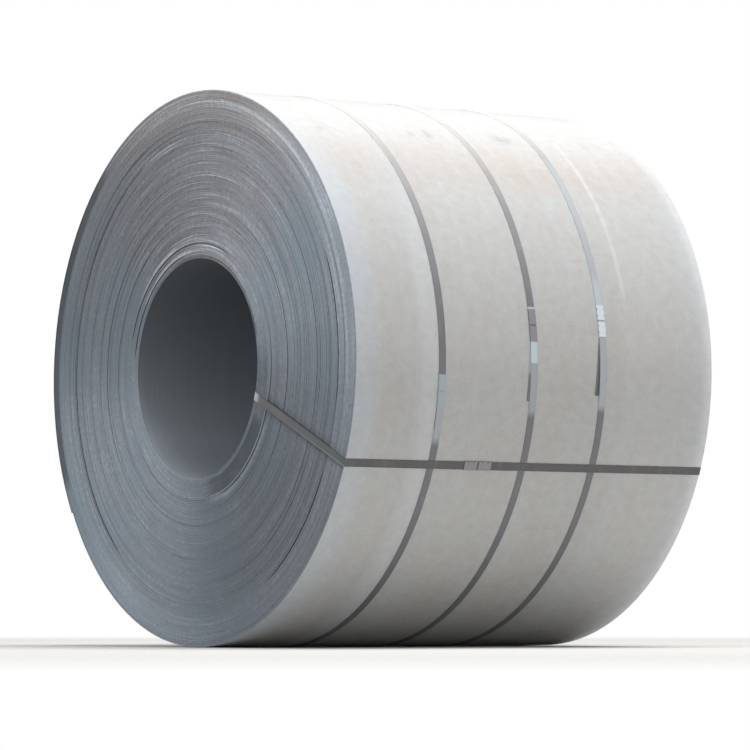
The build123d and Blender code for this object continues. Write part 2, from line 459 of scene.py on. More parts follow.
def round_points(angles, radii):
    """Points at those angles and distances round the bore's axis, at mid width."""
    return radii[:, None] * outwards(angles) + (0.0, 0.0, AXIS_HEIGHT)


def per_point(rows, section):
    """Each value of the rows repeated for every point of the section there."""
    return {key: np.repeat(row, len(section)) for key, row in rows.items()}


def strap_piece(name, centres, outward, side, strap, finish, **rows):
    """A strap whose inner face follows the centres. Each row of values goes to every point of its
    section, and across tells a point's side: 1 on the one that side points to, and -1 on the other."""
    section = rounded_section(strap.thickness - LAYER_AIR, strap.width, strap.edge, strap.edge)
    values = per_point(rows, section)
    values["across"] = np.tile(np.sign(section[:, 1]), len(centres))
    points = carried(centres, outward, side, section)
    return new_piece(name, points, bar_faces(len(centres), len(section)), [finish], values)


# ---------------------------------------------------------------- materials


class Value:
    """An output socket in a tree of nodes, on which arithmetic adds Math nodes."""

    def __init__(self, nodes, socket):
        self.nodes = nodes
        self.socket = socket

    def math(self, operation, *others):
        return self.nodes.node("ShaderNodeMath", {"operation": operation}, dict(enumerate((self, *others))))

    def __add__(self, other):
        return self.math("ADD", other)

    __radd__ = __add__

    def __sub__(self, other):
        return self.math("SUBTRACT", other)

    def __rsub__(self, other):
        return self.nodes.node("ShaderNodeMath", {"operation": "SUBTRACT"}, {0: other, 1: self})

    def __mul__(self, other):
        return self.math("MULTIPLY", other)

    def __truediv__(self, other):
        return self.math("DIVIDE", other)

    def __pow__(self, other):
        return self.math("POWER", other)

    def step(self, low, high):
        """0 below low and 1 above high, with a smooth rise between."""
        return self.nodes.node(
            "ShaderNodeMapRange", {"interpolation_type": "SMOOTHSTEP"},
            {"Value": self, "From Min": low, "From Max": high, "To Min": 0.0, "To Max": 1.0},
        )

    def band(self, middle, half, soft):
        """1 within half of middle, falling to 0 over soft."""
        return 1 - self.math("SUBTRACT", middle).math("ABSOLUTE").step(half, half + soft)


class Nodes:
    """A tree of nodes."""

    def __init__(self, tree):
        self.tree = tree

    def join(self, socket, value):
        if isinstance(value, Value):
            self.tree.links.new(value.socket, socket)
        elif hasattr(socket.default_value, "__len__") and len(value) == 3 and len(socket.default_value) == 4:
            socket.default_value = (*value, 1.0)
        else:
            socket.default_value = value

    def node(self, kind, settings=None, values=None, output=0):
        """One node: its settings come first, then what its sockets hold or are linked to."""
        made = self.tree.nodes.new(kind)
        for key, setting in (settings or {}).items():
            setattr(made, key, setting)
        for key, value in (values or {}).items():
            self.join(made.inputs[key], value)
        return Value(self, made.outputs[output])

    def seen(self):
        """1 to the camera and in gloss, and 0 to the rays that light the steel."""
        seen = self.node("ShaderNodeLightPath")
        for ray in ("Is Glossy Ray", "Is Transmission Ray"):
            seen = seen.math("MAXIMUM", self.node("ShaderNodeLightPath", output=ray))
        return seen


class Finish(Nodes):
    """A material and the nodes that make it."""

    def __init__(self, name, metallic, roughness, specular=0.5):
        self.material = bpy.data.materials.new(name)
        self.material.use_nodes = True
        super().__init__(self.material.node_tree)
        self.shader = self.tree.nodes["Principled BSDF"]
        self.set("Metallic", metallic)
        self.set("Roughness", roughness)
        self.set("Specular IOR Level", specular)

    def mix(self, share, low, high):
        """The colour low where share is 0 and high where it is 1."""
        return self.node("ShaderNodeMix", {"data_type": "RGBA"}, {0: share, 6: low, 7: high}, output=2)

    def coats(self, shade, *coats):
        """The colour with each coat laid over it in turn, by its own share."""
        for share, coat in coats:
            shade = self.mix(share, shade, coat)
        return shade

    def noise(self, vector, scale, detail=2.0, rough=0.6):
        return self.node(
            "ShaderNodeTexNoise", {}, {"Vector": vector, "Scale": scale, "Detail": detail, "Roughness": rough}
        )

    def streaks(self, x, y, z, detail=3.0, rough=0.6):
        """Noise in a space of its own, stretched by how much x, y and z are multiplied."""
        return self.noise(self.node("ShaderNodeCombineXYZ", {}, {0: x, 1: y, 2: z}), 1.0, detail, rough)

    def attribute(self, name):
        return self.node("ShaderNodeAttribute", {"attribute_name": name}, output=2)

    def position(self):
        return self.node("ShaderNodeTexCoord", output=3)

    def parts(self, vector):
        """The x, y and z of a vector."""
        made = self.node("ShaderNodeSeparateXYZ", {}, {0: vector}).socket.node
        return [Value(self, socket) for socket in made.outputs]

    def place(self):
        """Object coordinates as the distance from the bore's axis, the cosine and sine of the angle round
        it, the place along it and the position itself."""
        position = self.position()
        x, y, z = self.parts(position)
        z = z - AXIS_HEIGHT
        radius = (x * x + z * z) ** 0.5
        return radius, x / radius, z / radius, y, position

    def side_angle(self, across, up):
        """The angle round the bore, from 0 at the right-hand side, in radians."""
        return self.node("ShaderNodeMath", {"operation": "ARCTAN2"}, {0: up, 1: across})

    def darkened(self, shade, share):
        """A colour times a number."""
        return self.node("ShaderNodeVectorMath", {"operation": "SCALE"}, {0: shade, "Scale": share})

    def done(self, shade, rough, height, distance, strength):
        """The material, with its colour, its roughness and a relief of that height and strength."""
        self.set("Base Color", shade)
        self.set("Roughness", rough)
        relief = {"Height": height, "Distance": distance, "Strength": strength}
        self.set("Normal", self.node("ShaderNodeBump", {}, relief))
        return self.material

    def fade_out(self, near, far):
        """Changes to plain white between two distances from the middle, as the camera and gloss see it."""
        x, y, _ = self.parts(self.position())
        share = self.seen() * ((x * x + y * y) ** 0.5).step(near, far)
        plain, white = Value(self, self.shader.outputs[0]), self.node("ShaderNodeEmission")
        mixed = self.node("ShaderNodeMixShader", {}, {0: share, 1: plain, 2: white})
        self.join(self.tree.nodes["Material Output"].inputs[0], mixed)

    def set(self, name, value):
        self.join(self.shader.inputs[name], value)


# The angle at which painted light makes the laps' edges palest.
EDGE_PAINTED_LIGHT_ANGLE = math.radians(45)
# Linear colours of the palest steel: the top of the outside, made paler by painted light, and its rear, the
# scuff on it, and the painted highlight on the straps.
FACE_PALE, SCUFF_PALE, STRAP_HIGHLIGHT = (0.76, 0.76, 0.75), (0.78, 0.82, 0.85), (0.80, 0.80, 0.79)


def below_strap(strip, strap, across, up, radius):
    """How far a point of an end lies below the middle of the strap that slants over it."""
    rim = rim_radius(strip)
    inner = strip.bore * np.array((math.cos(strap.eye_bore), math.sin(strap.eye_bore)))
    outer = rim * np.array((math.cos(strap.eye_rim), math.sin(strap.eye_rim)))
    ahead = (outer - inner) / np.linalg.norm(outer - inner)
    level = float(inner[0] * ahead[1] - inner[1] * ahead[0])
    return (across * float(ahead[1]) - up * float(ahead[0])) * radius - level


def edge_finish(colours, strip, strap):
    """The laps' edges: each lap has its own tone along its run, fine marks along it, flecks and a dark
    crease between it and the next, of dirt and painted shade. Blue scale lies all over but near the top,
    violet in patches, and rust mostly near the top. Painted light makes them paler towards the upper right
    and the lower left, and a few laps above the bore carry painted glints. Painted shade darkens them at the
    lower right and beside the strap that slants over the end, with a painted shadow along its lower side."""
    finish = Finish("coil_end", 0.1, 0.6, 0.4)
    radius, across, up, y, position = finish.place()
    run, crease, mark = finish.attribute("run"), finish.attribute("crease"), finish.attribute("mark")
    marks = finish.streaks(run * 7.0, radius * 650, y * 650)
    patches = finish.streaks(run * 1.3, radius * 16, 0.0)
    grain = finish.noise(position, 900.0)
    flecks = finish.noise(position, 60.0, 4.0, 0.64)
    # The streaks are strongest near the top, and faint from the sides down.
    strength = 0.32 + up.step(0.35, 0.98) * 0.34
    streaks = finish.attribute("tone") + (marks - 0.5) * 0.40 + (patches - 0.5) * 0.3
    tone = 0.47 + streaks * strength + mark + (flecks - 0.5) * 0.66 + (grain - 0.5) * 0.12
    # Towards the upper right, and again towards the lower left, the scale is paler with painted light.
    facing = across * math.cos(EDGE_PAINTED_LIGHT_ANGLE) + up * math.sin(EDGE_PAINTED_LIGHT_ANGLE)
    pale = facing.math("MAXIMUM", 0.0) ** 2.0 + (1 - facing.step(-1.1, -0.5))
    cloud = finish.noise(position, 3.1, 3.0, 0.55)
    rim = radius.step(0.79, 0.91)
    cool = (cloud.step(0.40, 0.66) * 0.4 + 0.25) * (1 - up.step(0.5, 0.95))
    cool = (cool + rim * (1 - across.step(-0.6, 0.2)) * 0.2) * (1 - rim * across.step(0.1, 0.6) * 0.5)
    # Laps that are marked darkest keep less of the blue.
    cool = cool * (mark.step(-0.5, -0.1) * 0.6 + 0.4)
    blotches = finish.noise(position, 13.0, 3.0)
    rust = finish.streaks(run * 2.1, radius * 45, 0.0, 4.0, 0.65)
    brown = (rust.step(0.42, 0.66) + rim * 0.5) * 0.42 * up.step(0.45, 0.98) + rust.step(0.66, 0.74) * 0.2
    shade = finish.coats(
        colours.edge_dark,
        (tone.step(0.0, 0.52), colours.edge_mid),
        (tone.step(0.46, 1.02), colours.edge_light),
        (cool, colours.edge_cool),
        (blotches.step(0.46, 0.66) * (1 - rim * 0.6) * 0.36, colours.edge_violet),
        (brown, colours.edge_brown),
    )
    # Painted shade darkens the lower right. The outer laps are paler but for the far left, where the
    # outermost are darker.
    shaded = 1 - (1 - up.step(-0.25, 0.24)) * across.step(0.0, 0.6) * 0.17
    shaded = shaded * (rim * across.step(-0.9, -0.4) * 0.22 + 1)
    shaded = shaded * (1 - radius.step(0.90, 0.93) * (1 - across.step(-0.95, -0.65)) * 0.12)
    # Painted shadow along the slanting strap's lower side, and painted shade beside the strap.
    below = below_strap(strip, strap, across, up, radius)
    strap_shadow = below.band(strap.width / 2 + 0.006, 0.003, 0.004) * radius.step(0.42, 0.55) * 0.26
    beside = below.band(0.0, 0.022, 0.024) * 0.15
    shaded = shaded * (1 - (strap_shadow + beside) * across.step(0.0, 0.2))
    # The colour is lifted by painted light and darkened by dirt and painted shade in the creases and by the
    # painted shade and shadow above.
    shade = finish.darkened(shade, (pale * 0.62 + 1.0) * (1 - crease * 0.30) * shaded)
    return finish.done(shade, 0.72 - tone * 0.14 + crease * 0.15, grain * 0.4 + marks * 0.6, 0.0005, 0.6)


def face_finish(colours):
    """The strip's outer face: satin scale with faint clouds, fine lines along the strip and short ones
    across it, cool margins and bands, a pale scuff on the right and a row of dull marks below the top. It is
    lighter beside the front strap and towards the rear, paler near the top with painted light, darker at the
    very top, and darker below mid height with painted shade."""
    finish = Finish("coil_outside", 0.06, 0.6, 0.35)
    _, across, up, y, position = finish.place()
    run = finish.attribute("run")
    side = finish.side_angle(across, up)
    clouds = finish.streaks(run * 3.2, y * 4.2, 0.0, 4.0)
    mottle = finish.streaks(run * 30.0, y * 24.0, 5.0, 4.0, 0.65)
    bands = finish.streaks(run * 0.6, y * 14.0, 3.0, 3.0, 0.55)
    lines = finish.streaks(run * 1.4, y * 150.0, 7.0)
    rolls = finish.streaks(run * 95.0, y * 3.0, 0.0)
    grain = finish.noise(position, 260.0, 3.0, 0.65)
    beside = y.band(-0.45, 0.01, 0.06)
    margin = (1 - y.step(-0.71, -0.62)) * 0.85 + y.step(0.62, 0.745) * 0.7 + beside * 0.4
    margin = margin * (1 - up.step(0.5, 0.88) * 0.7)
    pink = clouds.step(0.46, 0.68) * 0.30 + (1 - (side - 0.80).math("ABSOLUTE").step(0.04, 0.20)) * 0.60
    broken = finish.noise(position, 19.0, 3.0, 0.55).step(0.30, 0.66)
    marks = None
    for place, half, wide in RUB_MARKS:
        mark = y.band(place, half * 0.1, half * 1.25) * side.band(0.985, wide * 0.1, wide * 1.1)
        marks = mark if marks is None else marks + mark
    slant = y + (side - 0.6) * -0.010
    ragged = finish.streaks(run * 40.0, y * 160.0, 2.0, 3.0, 0.7) * 0.7 + 0.65
    scuff = slant.band(0.387, 0.004, 0.009) * side.step(0.18, 0.34) * (1 - side.step(0.86, 1.04)) * ragged
    shade = finish.coats(
        colours.face,
        (pink + (mottle - 0.5) * 0.5, colours.face_warm),
        (bands.step(0.52, 0.70) * 0.25 + margin, colours.face_cool),
        # Painted light makes the top paler; the rear is paler too.
        (up.step(0.64, 0.90) * 0.33 + y.step(0.69, 0.75) * 0.45, FACE_PALE),
        (marks * broken * 0.32, colours.face_dark),
        (scuff * 0.30, SCUFF_PALE),
    )
    across_lines = rolls.step(0.58, 0.80) * y.step(-0.1, 0.1) * (1 - y.step(0.30, 0.45))
    dim = 1.0 - (lines - 0.5) * 0.07 - (grain - 0.5) * 0.30 - (mottle - 0.5) * 0.26 - across_lines * 0.09
    # Lighter beside the front strap and towards the rear, though not near the top, and painted shade below
    # mid height.
    lightened = beside * 0.08 + y.step(0.33, 0.40) * 0.04 + y.step(0.70, 0.75) * 0.10
    dim = dim + lightened * (1 - up.step(0.3, 0.7)) - (1 - up.step(-0.10, 0.10)) * 0.08
    dim = dim * (1 - up.step(0.92, 1.0) * 0.14)
    rough = 0.56 + grain * 0.12 + clouds * 0.08 - scuff * 0.10
    return finish.done(finish.darkened(shade, dim), rough, lines * 0.4 + grain * 0.6, 0.0004, 0.35)


# The dull rub marks below the top: place along the bore, half their length and half their angle.
RUB_MARKS = (
    (-0.594, 0.032, 0.050),
    (-0.228, 0.018, 0.030),
    (-0.153, 0.022, 0.042),
    (0.161, 0.048, 0.045),
    (0.557, 0.040, 0.034),
)


def bore_finish(colours):
    """The strip's inner face in the bore: dull scale with lines along the rolling direction, darker near the
    top with painted shade and paler the lower it lies with painted light."""
    finish = Finish("coil_bore", 0.2, 0.6)
    _, _, up, y, position = finish.place()
    run = finish.attribute("run")
    bands = finish.streaks(run * 0.9, y * 30.0, 0.0)
    lines = finish.streaks(run * 1.4, y * 240.0, 5.0, 2.0)
    grain = finish.noise(position, 500.0)
    shade = finish.mix(bands.step(0.40, 0.80) * 0.35, colours.bore, colours.edge_mid)
    # Painted light by height: darker at the top and paler towards the bottom.
    low = ((1 - up) * 0.5).math("MINIMUM", 0.8)
    painted_light = low * low * 3.0 + 0.55
    shade = finish.darkened(shade, painted_light * (1 - (lines - 0.5) * 0.3 - (grain - 0.5) * 0.2))
    return finish.done(shade, 0.52 + grain * 0.16, grain * 0.5 + lines * 0.5, 0.0004, 0.4)


def between_finish(colours, strip):
    """The faces between the laps, painted dark as shade where they show in the creases, and light at the step
    round the core laps.
    """
    finish = Finish("coil_between_laps", 0.1, 0.7)
    radius, *_, position = finish.place()
    grain = finish.noise(position, 400.0)
    step = radius.band(strip.bore + strip.core_laps * strip.pitch, 0.002, 0.001)
    # Painted shade: the faces in the creases are near black.
    shade = finish.mix(grain * 0.25, steel_colour(52, 55, 60), steel_colour(60, 62, 66))
    finish.set("Base Color", finish.mix(step, shade, colours.edge_light))
    return finish.material


def strap_finish(name, colours, base):
    """Strapping, with dust and a painted highlight towards the top and painted shade along its sides, and
    less dust and highlight on the left-hand side. Its attribute pale says where it is paler, with 0 plain,
    0.5 pale and 1 bright, and dull where it has scale on it, with a painted highlight along its side where
    across is below 0."""
    finish = Finish(name, 0.25, 0.46)
    _, across, up, y, position = finish.place()
    pale, dull, run = finish.attribute("pale"), finish.attribute("dull"), finish.attribute("run")
    rub = finish.streaks(run * 11.0, y * 30.0, up * 8.0, 4.0, 0.65)
    lines = finish.streaks(run * 6.0, y * 900.0, up * 40.0, 2.0)
    grain = finish.noise(position, 900.0)
    raised = up.math("MAXIMUM", 0.0)
    place = finish.attribute("across")
    # Painted shade along the strap's sides, but for near the top.
    side_shade = place.math("ABSOLUTE").step(0.62, 0.98) * (1 - up.step(0.5, 0.9))
    # Dust, with a painted highlight over the straps' top.
    dust_and_highlight = raised * raised * 0.52 + up.step(0.68, 0.92) * 0.44 + rub.step(0.45, 0.85) * 0.12
    # The left-hand side has half as much dust and painted highlight as the right-hand side.
    seen = across.step(-0.05, 0.22) * 0.5 + 0.5
    dust_and_highlight = (dust_and_highlight + up.band(0.38, 0.05, 0.15) * 0.06) * seen
    # Painted highlight on the straps' edges near the top, and a fainter one on their top.
    painted_highlight = place.math("ABSOLUTE").step(0.96, 1.0) * up.step(0.55, 0.85) + up.step(0.88, 0.98) * 0.35
    shade = finish.coats(
        base,
        (dust_and_highlight, colours.strap_dust_and_highlight),
        (dull, colours.strap_dull),
        # Painted highlight along the dull stretch's side where across is below 0.
        (dull * (1 - place.step(-0.75, -0.45)) * 0.25, colours.strap_pale),
        (pale.step(0.0, 0.5) * 0.94, colours.strap_pale),
        (pale.step(0.5, 1.0), colours.strap_bright),
        (painted_highlight * seen, STRAP_HIGHLIGHT),
    )
    wear_and_shade = 1.0 - (lines - 0.5) * 0.18 - (grain - 0.5) * 0.14 - side_shade * 0.08
    wear_and_shade = wear_and_shade - pale.step(0.0, 0.4) * up.step(0.5, 0.75) * 0.12
    shade = finish.darkened(shade, wear_and_shade)
    return finish.done(shade, 0.38 + rub * 0.2, grain * 0.5 + lines * 0.5, 0.0003, 0.35)


def seal_finish(name, colours):
    """A crimped seal: smooth strip with rubbed places."""
    finish = Finish(name, 0.5, 0.34)
    position = finish.position()
    rub = finish.noise(position, 90.0, 3.0)
    grain = finish.noise(position, 1100.0)
    shade = finish.mix(rub.step(0.5, 0.8) * 0.25, getattr(colours, name), colours.edge_light)
    shade = finish.darkened(shade, 1 - (grain - 0.5) * 0.12 - rub.step(0.2, 0.45) * 0.06)
    return finish.done(shade, 0.28 + rub * 0.2, grain, 0.0003, 0.3)


# ---------------------------------------------------------------- operators


# Which of the strip's finishes a face has.
EDGE, OUTSIDE, BORE, BETWEEN = range(4)


class COIL_OT_strip(bpy.types.Operator):
    """Wind the strip from its head in the bore to its tail on the outside."""

    bl_idname = "coil.strip"
    bl_label = "Wind the strip"

    def execute(self, context):
        strip, colours = context.scene.coil_strip, context.scene.coil_finishes
        angles, turns, inner = strip_path(strip)
        centres = round_points(angles, inner)
        centres[:, 1] = strip_slip(strip, angles, turns)
        section = rounded_section(strip.thickness, strip.width, strip.edge_radial, strip.edge_axial)
        points = carried(centres, outwards(angles), ALONG, section)
        # The strip is narrower where it slipped deepest, so that its rear edge stays level.
        points[:, 3:7, 1] -= np.maximum(centres[:, 1:2] - strip.rear_slip, 0.0)
        faces = bar_faces(len(angles), len(section))
        last = turns[:-1] > turns[-1] - 1 - SAME
        kinds = np.tile((EDGE, EDGE, BETWEEN, EDGE, EDGE, EDGE, BETWEEN, EDGE), (len(angles) - 1, 1))
        kinds[last, 2] = OUTSIDE
        kinds[turns[:-1] < 1 - SAME, 6] = BORE
        steps = np.hypot(np.diff(centres[:, 0]), np.diff(centres[:, 2]))
        run = np.concatenate([[0.0], np.cumsum(steps)])
        # The deep corners between laps, where the edge finish paints a crease of dirt and painted shade.
        deep = np.array((0.0, 0.0, 1.0, 1.0, 0.0, 0.0, 1.0, 1.0))
        crease = deep * np.ones((len(angles), 1))
        crease[turns > turns[-1] - 1 - SAME, 2:4] = 0.0
        crease[turns < 1, 6:] = 0.0
        rows = {"tone": lap_tone(turns), "mark": lap_runs(strip, turns, TONE), "run": run}
        values = {**per_point(rows, section), "crease": crease}
        strap = context.scene.coil_straps
        finishes = [
            edge_finish(colours, strip, strap), face_finish(colours), bore_finish(colours),
            between_finish(colours, strip),
        ]
        slots = [*kinds.ravel(), EDGE, EDGE]
        piece = new_piece("wound_strip", points, faces, finishes, values, slots, sharp=30.0)
        bake_map(piece, strip, turns)
        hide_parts("coil")
        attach(piece, "root")
        return {"FINISHED"}


# Straps round the outside: name, place along the bore, angle of the seals' middle, how far the end reaches
# past the seals and strays to the front there, how far the strap leans to the rear at the top, and its
# pale stretches, each as the layer, the angles from which and to which it is pale, how much and how softly.
# The layers are the end below the seals, the inner one from there on, and the outer one over them. A
# share below 0 makes the stretch dull instead.
ROUND_STRAPS = (
    ("front", -0.403, -6.5, 0.070, 0.002, 0.0, (("outer", -2.0, -20.0, 0.4, 3.0),)),
    ("middle", -0.023, 7.4, 0.200, 0.011, 0.005, (
        ("end", 5.0, -3.5, 0.5, 2.5), ("inner", 11.2, 10.7, 1.0, 0.1),
        ("outer", 4.3, -0.2, 1.0, 0.2), ("outer", 0.0, -30.0, 0.36, 0.2),
    )),
    ("rear", 0.272, 9.0, 0.200, 0.019, 0.030, (
        ("end", 6.0, -8.0, -1.0, 0.1),
        ("inner", 56.0, 8.0, 0.5, 10.0), ("inner", 27.0, -8.0, 0.80, 12.0), ("outer", 12.0, -40.0, 0.47, 3.0),
    )),
)


# Rows of points along a round strap: the part below its outer end, the step out from under that, once
# round, the ramp and the outer end. STEP_OFF is the step's length in radians.
STRAP_ROWS = (60, 6, 170, 9, 60)
STEP_OFF = 0.02
# The angles between which a strap starts to lean to the rear, and between which it stops, in degrees.
LEAN_START, LEAN_STOP = (24.0, 80.0), (110.0, 200.0)
# The power to which the inner end's share of its run is raised, to bend its straying.
STRAY_BEND = 0.7


class COIL_OT_round_straps(bpy.types.Operator):
    """Lay the three straps round the outside, each lapped on itself below its seals."""

    bl_idname = "coil.round_straps"
    bl_label = "Lay the round straps"

    def execute(self, context):
        strip, strap = context.scene.coil_strip, context.scene.coil_straps
        colours = context.scene.coil_finishes
        finish = strap_finish("strapping", colours, colours.strap)
        radius = rim_radius(strip)
        for name, y, seals, tail, stray, lean, tones in ROUND_STRAPS:
            start = math.radians(seals) - (strap.seals_length / 2 + tail) / radius
            lapped = (strap.seals_length + tail) / radius
            ramp = strap.ramp / radius
            stops = (0.0, lapped, lapped + STEP_OFF, TURN - ramp, TURN, TURN + lapped)
            travel = np.concatenate([[0.0]] + [
                np.linspace(low, high, rows)[1:] for low, high, rows in zip(stops, stops[1:], STRAP_ROWS)
            ])
            # It begins below the seals, goes up and once round, climbs onto its own end and stops at the
            # seals' top. The end that lies below strays to the front.
            angles = start + travel
            lift = smooth_step(travel, TURN - ramp, TURN) * (strap.thickness + LAYER_AIR)
            inner = strap_outline(strip, angles, strap.clearance) + lift
            centres = round_points(angles, inner)
            place = np.degrees((angles + math.pi / 2) % TURN - math.pi / 2)
            leaning = smooth_step(place, *LEAN_START) * (1 - smooth_step(place, *LEAN_STOP))
            straying = np.clip(1 - travel * radius / tail, 0.0, 1.0) ** STRAY_BEND
            centres[:, 1] = y + lean * leaning - stray * straying
            pale, dull = np.zeros_like(travel), np.zeros_like(travel)
            layers = {"end": travel * radius < tail, "outer": travel >= TURN - ramp}
            layers["inner"] = ~(layers["end"] | layers["outer"])
            for layer, high, low, share, soft in tones:
                edge = stretch(place, low, high, soft)
                pale = np.maximum(pale, layers[layer] * edge * share)
                dull = np.maximum(dull, layers[layer] * edge * -share)
            piece = strap_piece(
                f"{name}_round_strap", centres, outwards(angles), ALONG, strap, finish,
                pale=pale, dull=dull, run=travel * radius,
            )
            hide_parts(f"{name}_strap")
            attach(piece, "root")
        return {"FINISHED"}


def hull_path(points, clear, joint):
    """The path round a set of flat points at a clearance, as places and the directions away from them.

    Each corner of the points' convex hull becomes an arc of that radius, in as many points as joint.
    """
    order = geometry.convex_hull_2d([tuple(point) for point in points])
    corners = np.array([points[k] for k in order])
    x, y = corners.T
    if np.sum(x * np.roll(y, -1) - y * np.roll(x, -1)) < 0:
        corners = corners[::-1]
    ahead = np.roll(corners, -1, axis=0) - corners
    normal = np.arctan2(-ahead[:, 0], ahead[:, 1])
    before = np.roll(normal, 1)
    bend = (normal - before) % TURN
    shares = np.linspace(0.0, 1.0, joint)
    directions = before[:, None] + bend[:, None] * shares[None, :]
    away = np.stack([np.cos(directions), np.sin(directions)], axis=-1)
    return (corners[:, None, :] + clear * away).reshape(-1, 2), away.reshape(-1, 2)


# Where the eye strap's seals lie along the bore, and how far its end reaches past them to the rear.
EYE_SEALS = -0.213
EYE_TAIL = 0.070
# Rows of points along the eye strap's lapped part and along its ramp.
EYE_ROWS, RAMP_ROWS = 14, 9
# The steel within this many radians of the strap through the bore counts as below it.
EYE_NEAR = 0.09
# How far from the bore's wall the strap is pale with a painted highlight, and how near a depth is to a face
# to be on it.
EYE_HIGHLIGHT_REACH, ON_FACE = 0.024, 0.003


def lapped_loop(flat, away, outside, strap):
    """The closed path opened on its outer run, so that it starts in front of the seals, goes round to the
    rear through the bore, and comes back from the rear over its own start as far as the seals' front.

    flat is places along the bore and distances from the axis, away the directions out of the loop.
    """
    front, rear = EYE_SEALS - strap.seals_length / 2, EYE_SEALS + strap.seals_length / 2 + EYE_TAIL
    outer = flat[:, 1] > outside
    leave = np.flatnonzero(outer & (flat[:, 0] < front))
    leave = leave[np.argmax(flat[leave, 0])]
    if flat[(leave + 1) % len(flat), 0] > flat[leave, 0]:
        flat, away, leave = flat[::-1], away[::-1], len(flat) - 1 - leave
    path, turned = np.roll(flat, -leave, axis=0), np.roll(away, -leave, axis=0)
    back = np.arange(len(path)) > len(path) // 2
    kept = ~(back & (path[:, 1] > outside) & (path[:, 0] < rear + strap.ramp))
    path, turned = path[kept], turned[kept]
    under = np.linspace(rear, front, EYE_ROWS)
    over = np.concatenate([rear + strap.ramp * np.linspace(1.0, 0.0, RAMP_ROWS), under[1:]])
    lift = smooth_step(-over, -rear - strap.ramp, -rear) * (strap.thickness + LAYER_AIR)
    ends = path[[0, -1]].T
    first = np.stack([under, np.interp(under, *ends)], axis=-1)
    last = np.stack([over, np.interp(over, *ends) + lift], axis=-1)
    points = np.concatenate([first, path, last])
    flat_first, flat_last = (np.tile((0.0, 1.0), (len(part), 1)) for part in (first, last))
    return points, np.concatenate([flat_first, turned, flat_last])


class COIL_OT_eye_strap(bpy.types.Operator):
    """Pull the strap through the bore, slanting over both ends and back along the outside."""

    bl_idname = "coil.eye_strap"
    bl_label = "Pull the eye strap"

    def execute(self, context):
        strip, strap = context.scene.coil_strip, context.scene.coil_straps
        colours = context.scene.coil_finishes
        finish = strap_finish("eye_strapping", colours, colours.strap_brown)
        angles, turns, inner = strip_path(strip)
        middle = (strap.eye_bore + strap.eye_rim) / 2
        under = apart(angles, middle) < EYE_NEAR
        slip, depth, half = strip_slip(strip, angles, turns)[under], inner[under], strip.width / 2
        # The steel under the strap as places along the bore and distances from the axis. In the bore a
        # flat strap touches the wall with its sides, so the wall counts as nearer by its own sagitta.
        sagitta = strip.bore - math.sqrt(strip.bore**2 - (strap.width / 2) ** 2)
        low, high = depth - np.where(depth < strip.bore + ON_FACE, sagitta, 0.0), depth + strip.thickness
        rim = strap_outline(strip, np.array([strap.eye_rim]), 0.0)[0]
        high = np.minimum(high, rim)
        steel = np.concatenate([
            np.stack([slip + end * (half - inset), reach], axis=-1)
            for end in (-1, 1)
            for inset, reach in (
                (strip.edge_axial, low), (strip.edge_axial, high),
                (0.0, low + strip.edge_radial), (0.0, high - strip.edge_radial),
            )
        ])
        over = strap_outline(strip, np.array([strap.eye_rim]), strap.clearance + strap.thickness)[0]
        straps = np.array([(y + end * strap.width / 2, over) for _, y, *_ in ROUND_STRAPS for end in (-1, 1)])
        flat, away = hull_path(np.concatenate([steel, straps]), strap.clearance, 5)
        points, directions = lapped_loop(flat, away, flat[:, 1].max() - ON_FACE, strap)
        run = np.concatenate([[0.0], np.cumsum(np.hypot(*np.diff(points, axis=0).T))])
        # Across the end the strap goes straight from its place in the bore to its place on the rim.
        share = np.clip((points[:, 1] - strip.bore) / (rim - strip.bore), 0.0, 1.0)
        turned = strap.eye_bore + share * (strap.eye_rim - strap.eye_bore)
        reach = outwards(turned)
        side = np.stack([-np.sin(turned), 0 * turned, np.cos(turned)], axis=-1)
        feet = [
            radius * np.array((math.cos(angle), 0.0, math.sin(angle)))
            for radius, angle in ((strip.bore, strap.eye_bore), (rim, strap.eye_rim))
        ]
        beyond = points[:, 1] - strip.bore - share * (rim - strip.bore)
        centres = feet[0] + share[:, None] * (feet[1] - feet[0]) + beyond[:, None] * reach
        centres = centres + points[:, :1] * ALONG + np.array((0.0, 0.0, AXIS_HEIGHT))
        outward = directions[:, :1] * ALONG + directions[:, 1:] * reach
        # A painted highlight makes it pale in the bore's front half and over its edge, and it is dull over
        # the ends' outer part.
        lightened = (points[:, 1] < strip.bore + EYE_HIGHLIGHT_REACH) & (points[:, 0] < 0)
        piece = strap_piece(
            "bore_strap", centres, outward, side, strap, finish,
            pale=np.where(lightened, 0.55, 0.0), dull=smooth_step(share, 0.30, 0.50) * (share < 1.0), run=run,
        )
        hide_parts("eye_strap")
        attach(piece, "root")
        return {"FINISHED"}


class COIL_OT_seals(bpy.types.Operator):
    """Finish the crimped seals."""

    bl_idname = "coil.seals"
    bl_label = "Finish the seals"

    def execute(self, context):
        colours = context.scene.coil_finishes
        dark, grey, bright = (seal_finish(f"seal_{tone}", colours) for tone in ("dark", "grey", "bright"))
        shades = {"front": grey, "middle": dark, "rear": bright, "eye": dark}
        for name, node in frame["nodes"].items():
            if name.endswith("_seal"):
                for place in node.material_slots:
                    place.material = shades[name.split("_")[0]]
        return {"FINISHED"}


# Half the floor's side, and how far out it starts to fade to white and ends, in metres.
FLOOR_REACH, FADE_FROM, FADE_TO = 60.0, 2.6, 6.5
# The lamps: name, place and size in metres. Their power is one of the stage's sizes.
LAMPS = (("overhead", (1.4, 0.8, 9.5), 5.5), ("front", (-0.5, -7.0, 3.0), 4.0))


